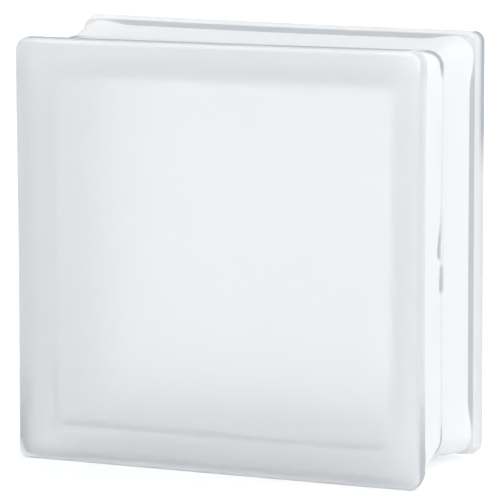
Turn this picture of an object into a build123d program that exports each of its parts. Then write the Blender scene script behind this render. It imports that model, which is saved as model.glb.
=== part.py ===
"""Hollow glass building block: two pressed half shells of glass, fused rim to rim.

Millimetres. X is the width, Y the thickness, Z up. The origin is the middle of the underside.
The front face looks towards -Y, and the two shells meet on the seam, at Y = 0.
"""

import math
import os

from build123d import *

# Overall size, the nominal size that such blocks are laid by
block_width = 190.0
block_height = 190.0
block_thickness = 80.0

# Flange: the band round each face, which the block rests on and which holds the mortar in
corner_radius = 6.5
face_edge_radius = 1.5
land_width = 4.5  # flat band next to the face, its rounded edge included
flange_width = 10.0  # from the face to the flange's inner rim
flange_draft = 1.2  # how far the rest of the flange draws in by the rim
rim_radius = 0.6

# Mortar groove between the two flanges; its depths are measured inwards from the flat band
shoulder_width = 1.5  # thickness that the step from the rim to the groove takes up
groove_depth = 3.0  # at the foot of the shoulder
groove_corner_radius = 6.0
groove_draft = 1.8  # how much deeper the groove is by the bead, so that the mould lets go
shoulder_foot_radius = 1.0

# Weld bead, where the two rims melted together
bead_width = 3.0  # of the whole bead, half of it on each shell
bead_top_width = 1.6
bead_height = 0.6  # above the groove beside it
bead_corner_radius = 5.5
bead_foot_radius = 0.4
bead_top_radius = 0.3
seam_notch = 0.2  # depth, and width on each shell, of the fine line along the bead

# Hollow inside, the shape of the plunger that presses it
face_thickness = 8.0
seam_wall = 7.0  # width of the rims that are fused
hollow_draft = 4.0  # how far the hollow draws in by the face plate
hollow_corner_radius = 7.0  # at the face plate
hollow_foot_radius = 4.0

# Heights above the mould's floor, for a shell that lies on its face
shell_height = block_thickness / 2
shoulder_foot = flange_width + shoulder_width
bead_foot = shell_height - bead_width / 2
bead_top = shell_height - bead_top_width / 2
notch_foot = shell_height - seam_notch
height_tolerance = 0.01

bead_inset = groove_depth + groove_draft - bead_height
rim_inset = bead_inset + seam_notch
hollow_inset = rim_inset + seam_wall + hollow_draft
hollow_height = shell_height - face_thickness


def outline(height, inset, radius):
    """The shell's rounded outline at a height above its face, drawn in by an inset."""
    with BuildSketch(Plane.XY.offset(height)) as section:
        RectangleRounded(block_width - 2 * inset, block_height - 2 * inset, radius)
    return section.sketch


def draft_angle(draw, height):
    """The angle of a wall that draws in by this much over a height."""
    return math.degrees(math.atan2(draw, height))


def edges_round(height):
    """The edges that run round the shell at a height above its face."""
    return (
        edges()
        .filter_by(Plane.XY)
        .filter_by_position(Axis.Z, height - height_tolerance, height + height_tolerance)
    )


with BuildPart() as plunger:
    # the shape of the hollow: it widens to the rims, and its nose is rounded
    extrude(
        outline(face_thickness, hollow_inset, hollow_corner_radius), hollow_height
    )
    draft(
        faces().filter_by(Plane.XY, reverse=True),
        neutral_plane=Plane.XY.offset(face_thickness),
        angle=-draft_angle(hollow_draft, hollow_height),
    )
    fillet(edges_round(face_thickness), hollow_foot_radius)

with BuildPart() as shell:
    # the flange: a flat band next to the face, then a drafted one up to the rim
    extrude(outline(0, 0, corner_radius), land_width)
    extrude(
        outline(land_width, 0, corner_radius),
        flange_width - land_width,
        taper=draft_angle(flange_draft, flange_width - land_width),
    )
    # the shoulder, which steps in to the mortar groove
    flange_rim = outline(flange_width, flange_draft, corner_radius - flange_draft)
    groove_start = outline(shoulder_foot, groove_depth, groove_corner_radius)
    loft([flange_rim, groove_start], ruled=True)
    # the drafted floor of the mortar groove
    extrude(
        groove_start,
        bead_foot - shoulder_foot,
        taper=draft_angle(groove_draft, bead_foot - shoulder_foot),
    )
    # half of the weld bead, with the fine line where the two shells meet
    groove_end = outline(
        bead_foot, groove_depth + groove_draft, groove_corner_radius - groove_draft
    )
    bead_start = outline(bead_top, bead_inset, bead_corner_radius)
    bead_end = outline(notch_foot, bead_inset, bead_corner_radius)
    fused_rim = outline(shell_height, rim_inset, bead_corner_radius)
    loft([groove_end, bead_start, bead_end, fused_rim], ruled=True)

    fillet(edges_round(0), face_edge_radius)
    fillet(edges_round(flange_width), rim_radius)
    fillet(edges_round(shoulder_foot), shoulder_foot_radius)
    fillet(edges_round(bead_foot), bead_foot_radius)
    fillet(edges_round(bead_top), bead_top_radius)

    add(plunger.part, mode=Mode.SUBTRACT)

# Both halves are the same pressing, stood up face outwards
front_plane = Plane(
    origin=(0, -shell_height, block_height / 2), x_dir=(1, 0, 0), z_dir=(0, 1, 0)
)
rear_plane = Plane(
    origin=(0, shell_height, block_height / 2), x_dir=(-1, 0, 0), z_dir=(0, -1, 0)
)

with BuildPart(front_plane) as front_half:
    add(shell.part)
front_half.part.label = "front_half"

with BuildPart(rear_plane) as rear_half:
    add(shell.part)
rear_half.part.label = "rear_half"

os.makedirs("parts", exist_ok=True)
export_step(front_half.part, "parts/front_half.step")
export_step(rear_half.part, "parts/rear_half.step")
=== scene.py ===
"""Satin glass block: two pressed half shells of glass, fused rim to rim, on plain white paper.

Sizes are in millimetres and turned to metres where the points are made. The front face looks
towards -Y and Z is up. Depths are measured from the seam, at Y = 0, and are negative in front.
"""
import math
from collections import namedtuple

import bmesh
import bpy
from mathutils import Matrix, Vector


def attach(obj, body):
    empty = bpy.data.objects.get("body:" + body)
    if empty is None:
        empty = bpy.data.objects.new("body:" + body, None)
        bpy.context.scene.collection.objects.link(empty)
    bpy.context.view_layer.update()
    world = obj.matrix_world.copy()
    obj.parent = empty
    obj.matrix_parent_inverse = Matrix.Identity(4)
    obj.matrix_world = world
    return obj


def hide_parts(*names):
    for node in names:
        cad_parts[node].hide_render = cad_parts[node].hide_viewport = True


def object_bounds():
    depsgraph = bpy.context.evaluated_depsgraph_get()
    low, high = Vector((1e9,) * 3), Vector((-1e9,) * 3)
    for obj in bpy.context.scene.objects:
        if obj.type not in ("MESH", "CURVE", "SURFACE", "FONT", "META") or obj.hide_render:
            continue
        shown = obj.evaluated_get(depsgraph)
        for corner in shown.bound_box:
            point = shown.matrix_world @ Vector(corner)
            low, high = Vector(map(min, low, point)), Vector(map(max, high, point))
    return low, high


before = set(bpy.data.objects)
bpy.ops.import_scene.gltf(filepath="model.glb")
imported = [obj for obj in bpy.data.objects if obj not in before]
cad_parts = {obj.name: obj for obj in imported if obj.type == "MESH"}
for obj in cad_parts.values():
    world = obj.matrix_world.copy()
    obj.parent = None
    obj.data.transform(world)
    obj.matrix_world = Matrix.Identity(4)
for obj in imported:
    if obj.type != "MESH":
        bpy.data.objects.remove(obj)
cad_low, cad_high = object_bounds()

MM = 0.001

# Overall size, from the frame; the face is square
half_width = (cad_high.x - cad_low.x) / 2 / MM
half_height = (cad_high.z - cad_low.z) / 2 / MM
shell_height = (cad_high.y - cad_low.y) / 2 / MM

# Flange round each face
corner_radius = 6.5
face_edge_radius = 1.5
face_flat_inset = 2 * face_edge_radius
land_width = 4.5
flange_width = 10.0
flange_draft = 1.2
rim_radius = 0.6
rim_depth = shell_height - flange_width

# Mortar groove
shoulder_width = 1.5
groove_depth = 3.0
groove_corner_radius = 8.5
groove_draft = 1.8
shoulder_foot_radius = 0.6

# Weld bead
bead_width = 2.6
bead_top_width = 1.6
bead_height = 0.5
bead_corner_radius = 7.5
bead_foot_radius = 0.3
bead_top_radius = 0.2
seam_notch = 0.1
bead_inset = groove_depth + groove_draft - bead_height

# Hollow
face_thickness = 8.0
seam_wall = 7.0
hollow_draft = 4.0
hollow_corner_radius = 7.0
hollow_foot_radius = 4.0
hollow_seam_radius = 6.0
hollow_flat_inset = 1.5 * hollow_foot_radius
hollow_flat_radius = 1.0

# What this block has of its own: its four corners differ, its sides drew in while they cooled,
# and two of its corners settled
side_names = ("right", "top", "left", "bottom")
corner_names = ("top_right", "top_left", "bottom_left", "bottom_right")
corner_change = {
    # added to the corner radius at the front flange, the seam and the rear flange
    "top_right": (-0.3, -0.3, -2.0),
    "top_left": (-0.5, -0.5, -1.5),
    "bottom_left": (-1.5, -0.5, -1.5),
    "bottom_right": (-0.7, 4.0, -1.5),
}
least_corner_radius = 0.4
side_bow = {
    # at the front flange, the seam and the rear flange
    "right": (0.3, 0.5, 0.1),
    "top": (0.1, 0.5, 0.3),
    "left": (0.3, 0.7, 0.3),
    "bottom": (0.0, 0.6, 0.0),
}
corner_settled = (
    # side, front or rear, top or bottom, and how far the corner moved up
    (-1, -1, 1, -2.2),
    (1, 1, -1, 1.5),
)

# The shoulder fades out by the corners, and the bead stands proud round them
shoulder_fade = 16.0
shoulder_fill = 1.7
bead_fade = 7.0
bead_undercut = {"top_right": 1.0, "top_left": 1.0, "bottom_left": 0.2, "bottom_right": 0.1}
undercut_rise = 0.5
undercut_power = 3  # a higher one keeps the undercut closer to the bead

# Weld mark half way up the right side, where the bead ran over to the front
weld_mark = (
    # height above the base, how far it ran over, thickness
    (117.0, 0.0, 0.0),
    (110.0, 0.6, 0.2),
    (106.0, 1.6, 0.4),
    (102.0, 3.0, 0.7),
    (99.0, 4.2, 0.9),
    (95.8, 4.4, 0.9),
    (93.8, 3.6, 0.7),
    (92.3, 0.4, 0.1),
    (91.0, 0.2, 0.0),
    (88.5, 0.6, 0.5),
    (80.5, 1.3, 0.8),
    (78.2, 1.0, 0.5),
    (76.7, 0.0, 0.0),
)
weld_mark_wall = 1.0
weld_mark_back = 1.5

# How finely the skins are divided
corner_steps = 12
side_steps = 40
weld_steps = 60
weld_span = (74.0, 120.0)  # heights between which the right side is divided finely
fillet_steps = 6
seam_half_width = 7.0
seam_ring_gap = 0.3
ring_tolerance = 0.1

# Share of the light that each finish scatters evenly
satin_frost = 0.25
coat_frost = 0.9
coat_passes = 0.3  # share of the coat's scattered light that goes on through it

# Painted shade: dark lines painted into the edge coat's colour, from 0 for the white coat to 1 for
# the painted shade colour alone
painted_line_shade = 0.8
shoulder_margin = 0.2
shoulder_shade_cleared = 0.6  # how much of the shoulder's painted shade is gone at the corners
bead_painted_shade = 0.15  # painted shade on the bead's walls away from the corners; round them it is full
# painted shade in front of the weld mark
mark_line_strength = 1.5
mark_line_reach = 3.0
mark_line_lead = 3  # how much sooner the painted shade ends in front of the weld mark

# Flange: the coat with its painted shade runs on past the rims at top and bottom, a painted
# highlight lies inside the face's edge, and painted shade darkens the land's edge and the flange
shade_reach = 2.5
shade_margin = 0.5
shaded_rims = ("top", "bottom")
# painted highlight: extra frost inside the face's edge, per side and stronger round the corners
edge_highlight = {"right": 0.3, "top": 0.9, "left": 0.25, "bottom": 0.5}
corner_highlight = {"top_right": 1.0, "top_left": 0.6, "bottom_left": 0.9, "bottom_right": 0.6}
corner_highlight_reach = 2.0
highlight_start = 0.2
highlight_rise = 0.5
# painted shade along the land's edge in front, per side
land_shade = {"right": 0.3, "top": 0.9, "left": 0.4, "bottom": 0.8}
land_line_width = 0.3
# painted shade on the front flange, per side and growing towards some corners
flange_shade = {"right": 0.0, "top": 0.3, "left": 0.45, "bottom": 0.1}
corner_shade = {"top_right": 0.0, "top_left": 0.6, "bottom_left": 1.0, "bottom_right": 0.9}
corner_shade_reach = 70.0
rear_land_shade = (117.0, 145.0)  # heights on the right side where the rear land's painted shade starts and is full
rear_land_least = 0.3

# Glass, its coat, the painted shade colour and the paper
glass_colour = "#fdfeff"
glass_body_colour = "#7cb5c4"
body_density = 1.5
glass_ior = 1.52
polished_roughness = 0.03
etched_roughness = 0.65
coat_colour = "#fcfcfd"
painted_shade_colour = "#b3b9bf"
paper_colour = "#f3f3f3"
paper_glow = 0.3
paper_reach = 6.0

# Soft light: the way each lobe comes from, and its strength at the middle of the lobe
light_colour = "#ffffff"
soft_lights = (
    ((1, 0, 0), 0.98),
    ((1, 1, 0), 1.63),
    ((0, 1, 1), 1.66),
    ((-1, 0, 1), 0.1),
    ((0, -1, 1), 0.47),
    ((0, -1, 0), 1.42),
    ((1, -1, 0), 0.96),
    ((-1, -1, 0), 1.1),
)
lobe_sharpness = 8.0
light_bounces = 32

# Camera, in degrees and metres, with its lens and sensor in millimetres
camera_azimuth = 22.81
camera_elevation = 9.475
camera_roll = -0.127
camera_distance = 1.9684
camera_aim = Vector((-0.0002, -0.0001, 0.0931))
camera_lens = 321.4
camera_sensor = 36.0
camera_clip_end = 50.0

# A place on a side: its depth, how far its outline is drawn in, how far it lies from the side's
# middle, and how far the middle is from where the corner starts to round
Place = namedtuple("Place", "side depth inset along run")


def linear(hex_colour):
    """An sRGB hex colour as linear red, green, blue and alpha."""
    channels = [int(hex_colour[i : i + 2], 16) / 255 for i in (1, 3, 5)]
    return [c / 12.92 if c <= 0.04045 else ((c + 0.055) / 1.055) ** 2.4 for c in channels] + [1.0]


def add_node(tree, kind, settings=None, inputs=None, links=None):
    """A shader node with its settings, its plain inputs and its links from other sockets."""
    node = tree.nodes.new(kind)
    for name, value in (settings or {}).items():
        setattr(node, name, value)
    for name, value in (inputs or {}).items():
        node.inputs[name].default_value = value
    for name, socket in (links or {}).items():
        tree.links.new(socket, node.inputs[name])
    return node


def within_one(share):
    """A share kept from 0 to 1."""
    return min(max(share, 0.0), 1.0)


def fade(distance, reach):
    """1 at no distance, falling smoothly to 0 at the reach."""
    return (1 + math.cos(math.pi * min(abs(distance) / reach, 1.0))) / 2


def fillet_point(corner, back, ahead, radius, turn, angle):
    """A point of the arc that rounds a corner of the section, at an angle from the arc's start."""
    start = corner + back * radius * math.tan(turn / 2)
    forward = -back
    inward = (ahead - forward * math.cos(turn)) / math.sin(turn)
    return start + forward * radius * math.sin(angle) + inward * radius * (1 - math.cos(angle))


def rounded_path(stations):
    """The section's stations (depth, inset, corner radius, fillet radius), with fillets drawn."""
    points = [Vector(station[:3]) for station in stations]
    path = [points[0]]
    for before, corner, after, station in zip(points, points[1:], points[2:], stations[1:]):
        fillet_radius = station[3]
        if not fillet_radius:
            path.append(corner)
            continue
        back = (before - corner) / (before - corner).xy.length
        ahead = (after - corner) / (after - corner).xy.length
        turn = math.pi - back.xy.angle(ahead.xy)
        for step in range(fillet_steps + 1):
            angle = turn * step / fillet_steps
            path.append(fillet_point(corner, back, ahead, fillet_radius, turn, angle))
    path.append(points[-1])
    return path


def fine_at_seam(path):
    """The path with its long stretches near the seam divided, so that the weld's relief shows."""
    fine = [path[0]]
    for start, end in zip(path, path[1:]):
        near_seam = min(abs(start.x), abs(end.x)) < seam_half_width
        count = math.ceil((end - start).xy.length / seam_ring_gap) if near_seam else 1
        fine += [start.lerp(end, step / count) for step in range(1, count + 1)]
    return fine


def both_halves(stations):
    """The front half's stations, given by height above its face, then the rear half's."""
    front = [(height - shell_height, *section) for height, *section in stations]
    rear = [(-depth, *section) for depth, *section in front[::-1]]
    return front + rear[1:]


def outer_section():
    """Face, land, drafted flange, shoulder, groove floor and weld bead of one half."""
    shoulder_foot = flange_width + shoulder_width
    groove_end = groove_depth + groove_draft
    bead_foot = shell_height - bead_width / 2
    shade_end = flange_width - shade_reach
    shade_inset = flange_draft * (shade_end - land_width) / (flange_width - land_width)
    return [
        (0, face_flat_inset, corner_radius - face_flat_inset, 0),
        (0, 0, corner_radius, face_edge_radius),
        (land_width, 0, corner_radius, 0),
        (shade_end, shade_inset, corner_radius - shade_inset, 0),
        (flange_width, flange_draft, corner_radius - flange_draft, rim_radius),
        (shoulder_foot, groove_depth, groove_corner_radius, shoulder_foot_radius),
        (bead_foot, groove_end, groove_corner_radius - groove_draft, bead_foot_radius),
        (shell_height - bead_top_width / 2, bead_inset, bead_corner_radius, bead_top_radius),
        (shell_height - seam_notch, bead_inset, bead_corner_radius, 0),
        (shell_height, bead_inset + seam_notch, bead_corner_radius, 0),
    ]


def hollow_section():
    """Face plate, rounded foot and drafted wall of one half's hollow."""
    seam_inset = bead_inset + seam_notch + seam_wall
    face_inset = seam_inset + hollow_draft
    seam_corner_radius = hollow_corner_radius + hollow_draft
    return [
        (face_thickness, face_inset + hollow_flat_inset, hollow_flat_radius, 0),
        (face_thickness, face_inset, hollow_corner_radius, hollow_foot_radius),
        (shell_height, seam_inset, seam_corner_radius, hollow_seam_radius),
    ]


def along_thickness(values, depth):
    """A value at a depth, from those at the front flange, the seam and the rear flange."""
    at_front, at_seam, at_rear = values
    to_flange = min(abs(depth) / rim_depth, 1.0)
    return at_seam + ((at_front if depth < 0 else at_rear) - at_seam) * to_flange


def corner_near(place):
    """The name of the corner that a place lies nearer to."""
    quarter = side_names.index(place.side)
    return corner_names[quarter if place.along > 0 else quarter - 1]


def near_corner(place, reach):
    """1 round a corner, falling smoothly to 0 at a reach from it."""
    return fade(place.run - abs(place.along), reach)


def bow_at(place):
    """How far a side has drawn in, most at its middle."""
    most = along_thickness(side_bow[place.side], place.depth)
    return most * math.cos(math.pi / 2 * place.along / place.run) ** 2


def groove_share(depth):
    """How far a depth lies through the groove: 0 at the flange's rim, 1 at the foot of the bead."""
    return within_one((rim_depth - abs(depth)) / (rim_depth - bead_width / 2))


def outer_relief(place):
    """How far the outer skin stands out at a place, or in when it is negative."""
    share = groove_share(place.depth)
    relief = -bow_at(place)
    if share > 0:
        to_foot = min((rim_depth - abs(place.depth)) / shoulder_width, 1.0)
        relief += shoulder_fill * to_foot * (1 - share) * near_corner(place, shoulder_fade)
        off_bead = within_one((abs(place.depth) - bead_top_width / 2) / undercut_rise)
        undercut = bead_undercut[corner_near(place)] * share**undercut_power * off_bead
        relief -= undercut * near_corner(place, bead_fade)
    if place.side == "right":
        relief += weld_mark_relief(place)
    return relief


def weld_mark_at(along):
    """How far the bead ran over at a place on the right side, and how thick it is there."""
    height = along + half_height
    for (top, *at_top), (foot, *at_foot) in zip(weld_mark, weld_mark[1:]):
        if foot <= height <= top:
            share = (height - foot) / (top - foot)
            return [low + (high - low) * share for low, high in zip(at_foot, at_top)]
    return 0.0, 0.0


def weld_mark_front(ran_over):
    """The depth that the weld mark reaches to in front."""
    return -bead_width / 2 - ran_over


def weld_mark_relief(place):
    """How far the weld mark stands out: steep in front, and level with the bead behind."""
    ran_over, thickness = weld_mark_at(place.along)
    rise = within_one((place.depth - weld_mark_front(ran_over)) / weld_mark_wall)
    fall = within_one((weld_mark_back - place.depth) / weld_mark_back)
    return thickness * (rise * rise * (3 - 2 * rise) * fall)


def hollow_relief(place):
    """The hollow's walls follow the block's own bow."""
    return -bow_at(place)


def evenly(start, end, count):
    """Places from a start up to, but without, an end."""
    return [start + (end - start) * step / count for step in range(count)]


def steps_along(side, start, end):
    """Places along a side, closer together over the weld mark."""
    if side != "right":
        return evenly(start, end, side_steps)
    low, high = (height - half_height for height in weld_span)
    beside = side_steps // 2
    return evenly(start, low, beside) + evenly(low, high, weld_steps) + evenly(high, end, beside)


def ring(depth, inset, radius):
    """Goes round the block's outline at a depth, giving each point, its way out and its place."""
    half = half_width - inset
    radii = [radius + along_thickness(corner_change[name], depth) for name in corner_names]
    corners = [max(corner, least_corner_radius) for corner in radii]
    for quarter, side in enumerate(side_names):
        turn = Matrix.Rotation(math.radians(90 * quarter), 2)
        start = -half + corners[quarter - 1]
        end = half - corners[quarter]
        middle = (start + end) / 2
        run = (end - start) / 2
        for along in steps_along(side, start, end):
            place = Place(side, depth, inset, along - middle, run)
            yield turn @ Vector((half, along)), turn @ Vector((1, 0)), place
        round_corner = Place(side, depth, inset, run, run)
        for step in range(corner_steps):
            angle = math.radians(90) * step / corner_steps
            out = Vector((math.cos(angle), math.sin(angle)))
            point = Vector((end, end)) + corners[quarter] * out
            yield turn @ point, turn @ out, round_corner


def settled(point, depth):
    """How far the block's own corners have moved a place up."""
    up = 0.0
    for side, rear, top, most in corner_settled:
        across = 1 + side * point.x / half_width
        behind = 1 + rear * depth / shell_height
        above = 1 + top * point.y / half_height
        share = across * behind * above
        up += most * share / 8
    return up


def skin(mesh, path, relief, finish, inside_out=False):
    """Rings along a path, joined by faces and closed by a flat face at both ends."""
    # these layers hold each point's frost, with its painted highlights, and its painted shade
    frost_and_highlight = mesh.verts.layers.float["frost_and_highlight"]
    painted_shade = mesh.verts.layers.float["painted_shade"]
    rings = []
    for depth, inset, radius in path:
        verts = []
        for point, out, place in ring(depth, inset, radius):
            point = point + out * relief(place)
            height = point.y + half_height + settled(point, depth)
            vert = mesh.verts.new(Vector((point.x, depth, height)) * MM)
            vert[frost_and_highlight], vert[painted_shade] = finish(place)
            verts.append(vert)
        rings.append(verts)
    count = len(rings[0])
    for front, rear in zip(rings, rings[1:]):
        for i in range(count):
            j = (i + 1) % count
            quad = (front[i], front[j], rear[j], rear[i])
            mesh.faces.new(quad if inside_out else quad[::-1])
    front_cap = rings[0]
    rear_cap = rings[-1][::-1]
    mesh.faces.new(front_cap[::-1] if inside_out else front_cap)
    mesh.faces.new(rear_cap[::-1] if inside_out else rear_cap)


def outer_finish(place):
    """How frosted a place is and how much painted shade it carries: satin flanges, and between them
    a white edge coat, with painted shade on the shoulder, the bead's walls and the weld mark's
    front."""
    past_rim = abs(place.depth) - rim_depth
    # at top and bottom the coat with the shoulder's painted shade runs on past the rim
    if past_rim > (shade_reach - shade_margin if place.side in shaded_rims else 0.0):
        return flange_finish(place)
    # painted shade on the shoulder, on the walls of the bead and in front of the weld mark
    painted_shade = 0.0
    if past_rim > -shoulder_width - shoulder_margin:
        painted_shade = painted_line_shade * (1 - shoulder_shade_cleared * near_corner(place, shoulder_fade))
    if bead_top_width / 2 <= abs(place.depth) <= bead_width / 2 + ring_tolerance:
        painted_shade = painted_line_shade * (bead_painted_shade + (1 - bead_painted_shade) * near_corner(place, bead_fade))
    if place.side == "right":
        painted_shade = max(painted_shade, painted_line_shade * weld_mark_line(place))
    return coat_frost, painted_shade


def weld_mark_line(place):
    """How much painted shade a place gets from the weld mark, most at the mark's front."""
    ran_over, thickness = weld_mark_at(place.along)
    front = weld_mark_front(ran_over)
    before = max(front - place.depth, 0) * mark_line_lead
    behind = max(place.depth - front, 0)
    return min(1.0, mark_line_strength * thickness) * fade(before + behind, mark_line_reach)


def flange_finish(place):
    """Satin, with a painted highlight inside the face's edge and a thin painted shade line along
    the land; in front, painted shade darkens the flange by side and towards some corners.
    """
    on_land = abs(place.depth) > shell_height - land_width - ring_tolerance
    on_face = abs(place.depth) > shell_height - face_edge_radius / 2
    painted_shade = 0.0
    if place.depth < 0 and not on_face:
        painted_shade = corner_shade[corner_near(place)] * near_corner(place, corner_shade_reach)
        painted_shade = max(painted_shade, flange_shade[place.side])
    if not on_land:
        return satin_frost + (coat_frost - satin_frost) * painted_shade, painted_shade
    line = land_line(place, painted_shade)
    added = max(painted_highlight_line(place), (coat_frost - satin_frost) * line, 0.0)
    return satin_frost + added, line


def painted_highlight_line(place):
    """Frost that the painted highlight inside the face's edge adds to the satin, more round the
    corners.
    """
    matt_white_and_highlight = edge_highlight[place.side]
    matt_white_and_highlight += (corner_highlight[corner_near(place)] - matt_white_and_highlight) * near_corner(place, corner_highlight_reach)
    from_flat = (face_flat_inset - place.inset) / face_edge_radius
    from_land = (place.inset - highlight_start) / highlight_rise
    return (matt_white_and_highlight - satin_frost) * min(from_flat, from_land, 1.0)


def land_line(place, painted_shade):
    """How much painted shade the line along the land carries, in front at least as much as the
    flange beside it, and behind only on the right side, most towards its top.
    """
    line = within_one(1 - place.inset / land_line_width)
    if place.depth < 0:
        return line * max(land_shade[place.side], painted_shade)
    if place.side != "right":
        return 0.0
    low, high = rear_land_shade
    height = place.along + half_height
    return line * min(max((height - low) / (high - low), rear_land_least), 1.0)


def hollow_finish(place):
    """Fire-polished all over, as the plunger leaves it."""
    return 0.0, 0.0


def pressed_glass():
    """Soda-lime glass pressed in a mould: a faint blue-green where it is thick, bright in the
    hollow, etched to a satin outside, and under a white edge coat between the flanges. Painted
    shade mixes the coat's white towards grey, and painted highlights are extra frost."""
    material = bpy.data.materials.new("pressed_soda_lime_glass")
    material.use_nodes = True
    tree = material.node_tree
    tree.nodes.clear()
    frost_and_highlight = add_node(tree, "ShaderNodeAttribute", {"attribute_name": "frost_and_highlight"})
    roughness = add_node(
        tree, "ShaderNodeMapRange",
        inputs={"From Max": satin_frost, "To Min": polished_roughness, "To Max": etched_roughness},
        links={"Value": frost_and_highlight.outputs["Fac"]},
    )
    glass = add_node(
        tree, "ShaderNodeBsdfPrincipled",
        inputs={"Base Color": linear(glass_colour), "IOR": glass_ior, "Transmission Weight": 1.0},
        links={"Roughness": roughness.outputs["Result"]},
    )
    # painted shade: this attribute mixes the coat's white towards the painted shade colour
    painted_shade = add_node(tree, "ShaderNodeAttribute", {"attribute_name": "painted_shade"})
    # the mix node's colour sockets are 6, 7 and output 2, because their names are shared
    coat = add_node(
        tree, "ShaderNodeMix", {"data_type": "RGBA"},
        inputs={6: linear(coat_colour), 7: linear(painted_shade_colour)}, links={0: painted_shade.outputs["Fac"]},
    )
    # matt white of the coat, which also carries the painted highlights and the painted shade
    matt_white_and_highlight = add_node(tree, "ShaderNodeBsdfDiffuse", links={"Color": coat.outputs[2]})
    milk = add_node(tree, "ShaderNodeBsdfTranslucent", links={"Color": coat.outputs[2]})
    scatter = add_node(
        tree, "ShaderNodeMixShader",
        inputs={0: coat_passes}, links={1: matt_white_and_highlight.outputs[0], 2: milk.outputs[0]},
    )
    surface = add_node(
        tree, "ShaderNodeMixShader",
        links={0: frost_and_highlight.outputs["Fac"], 1: glass.outputs["BSDF"], 2: scatter.outputs[0]},
    )
    absorption = add_node(
        tree, "ShaderNodeVolumeAbsorption",
        inputs={"Color": linear(glass_body_colour), "Density": body_density},
    )
    add_node(
        tree, "ShaderNodeOutputMaterial",
        links={"Surface": surface.outputs[0], "Volume": absorption.outputs["Volume"]},
    )
    return material


def glass_block():
    """The block's outer skin and the skin of its hollow, as one piece of glass."""
    mesh = bmesh.new()
    # layers for the frost, with its painted highlights, and for the painted shade
    mesh.verts.layers.float.new("frost_and_highlight")
    mesh.verts.layers.float.new("painted_shade")
    outer_path = fine_at_seam(rounded_path(both_halves(outer_section())))
    hollow_path = rounded_path(both_halves(hollow_section()))
    skin(mesh, outer_path, outer_relief, outer_finish)
    skin(mesh, hollow_path, hollow_relief, hollow_finish, inside_out=True)
    data = bpy.data.meshes.new("glass_block")
    mesh.to_mesh(data)
    mesh.free()
    data.shade_smooth()
    data.materials.append(pressed_glass())
    piece = bpy.data.objects.new("glass_block", data)
    bpy.context.scene.collection.objects.link(piece)
    piece.modifiers.new("even_shading", "WEIGHTED_NORMAL").keep_sharp = False
    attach(piece, "root")
    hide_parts("front_half", "rear_half")


def floor():
    """A large sheet of white paper, which the block stands on."""
    mesh = bmesh.new()
    corners = ((-1, -1), (1, -1), (1, 1), (-1, 1))
    mesh.faces.new([mesh.verts.new((x * paper_reach, y * paper_reach, 0)) for x, y in corners])
    data = bpy.data.meshes.new("floor")
    mesh.to_mesh(data)
    mesh.free()
    data.materials.append(white_paper())
    piece = bpy.data.objects.new("floor", data)
    bpy.context.scene.collection.objects.link(piece)


def white_paper():
    """Matt white paper that keeps the block's shadow. It glows a little for the camera, for
    gloss and for what is seen through glass, so that they see a white background."""
    material = bpy.data.materials.new("white_paper")
    material.use_nodes = True
    tree = material.node_tree
    tree.nodes.clear()
    paper = add_node(tree, "ShaderNodeBsdfDiffuse", inputs={"Color": linear(paper_colour)})
    path = add_node(tree, "ShaderNodeLightPath")
    seen = add_node(
        tree, "ShaderNodeMath", {"operation": "MAXIMUM"},
        links={0: path.outputs["Is Camera Ray"], 1: path.outputs["Is Transmission Ray"]},
    )
    seen = add_node(
        tree, "ShaderNodeMath", {"operation": "MAXIMUM"},
        links={0: path.outputs["Is Glossy Ray"], 1: seen.outputs[0]},
    )
    strength = add_node(
        tree, "ShaderNodeMath", {"operation": "MULTIPLY"},
        inputs={1: paper_glow}, links={0: seen.outputs[0]},
    )
    glow = add_node(tree, "ShaderNodeEmission", links={"Strength": strength.outputs[0]})
    both = add_node(tree, "ShaderNodeAddShader", links={0: paper.outputs[0], 1: glow.outputs[0]})
    add_node(tree, "ShaderNodeOutputMaterial", links={"Surface": both.outputs[0]})
    return material


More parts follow.
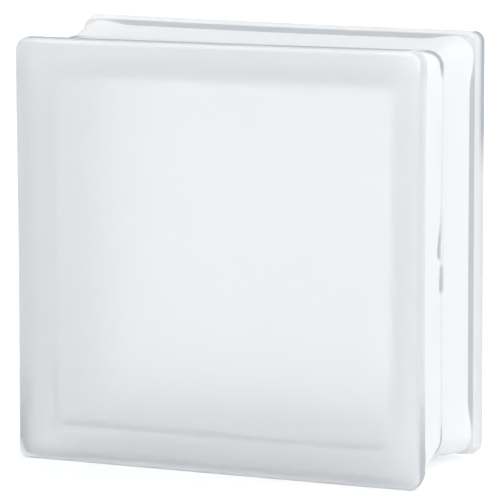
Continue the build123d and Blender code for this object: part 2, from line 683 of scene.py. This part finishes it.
def studio():
    """Soft light from all round, as a sum of broad lobes."""
    world = bpy.data.worlds.new("soft_studio")
    bpy.context.scene.world = world
    world.use_nodes = True
    tree = world.node_tree
    tree.nodes.clear()
    place = add_node(tree, "ShaderNodeTexCoord")
    total = None
    for direction, strength in soft_lights:
        facing = add_node(
            tree, "ShaderNodeVectorMath", {"operation": "DOT_PRODUCT"},
            inputs={1: Vector(direction).normalized()}, links={0: place.outputs["Generated"]},
        )
        share = add_node(
            tree, "ShaderNodeMapRange",
            inputs={"From Min": -1.0}, links={"Value": facing.outputs["Value"]},
        )
        power = add_node(
            tree, "ShaderNodeMath", {"operation": "POWER"},
            inputs={1: lobe_sharpness}, links={0: share.outputs["Result"]},
        )
        lobe = add_node(
            tree, "ShaderNodeMath", {"operation": "MULTIPLY_ADD"},
            inputs={1: strength, 2: 0.0}, links={0: power.outputs[0]},
        )
        if total:
            tree.links.new(total.outputs[0], lobe.inputs[2])
        total = lobe
    background = add_node(
        tree, "ShaderNodeBackground",
        inputs={"Color": linear(light_colour)}, links={"Strength": total.outputs[0]},
    )
    add_node(tree, "ShaderNodeOutputWorld", links={"Surface": background.outputs[0]})


def camera():
    """A long lens without shift, looking at the block from the front, the right and above."""
    azimuth = math.radians(camera_azimuth)
    elevation = math.radians(camera_elevation)
    back = Vector((
        math.sin(azimuth) * math.cos(elevation),
        -math.cos(azimuth) * math.cos(elevation),
        math.sin(elevation),
    ))
    data = bpy.data.cameras.new("camera")
    data.lens = camera_lens
    data.sensor_width = camera_sensor
    data.clip_end = camera_clip_end
    seat = bpy.data.objects.new("camera", data)
    roll = Matrix.Rotation(math.radians(camera_roll), 3, "Z")
    look = back.to_track_quat("Z", "Y").to_matrix() @ roll
    seat.matrix_world = Matrix.Translation(camera_aim + back * camera_distance) @ look.to_4x4()
    bpy.context.scene.collection.objects.link(seat)
    bpy.context.scene.camera = seat


def render_settings():
    """Plain colours, and enough bounces for light to find its way out of the thick glass."""
    scene = bpy.context.scene
    scene.view_settings.view_transform = "Standard"
    scene.cycles.max_bounces = light_bounces
    scene.cycles.transmission_bounces = light_bounces
    scene.cycles.glossy_bounces = light_bounces
    scene.cycles.diffuse_bounces = light_bounces
    scene.cycles.use_denoising = True


glass_block()
floor()
studio()
camera()
render_settings()
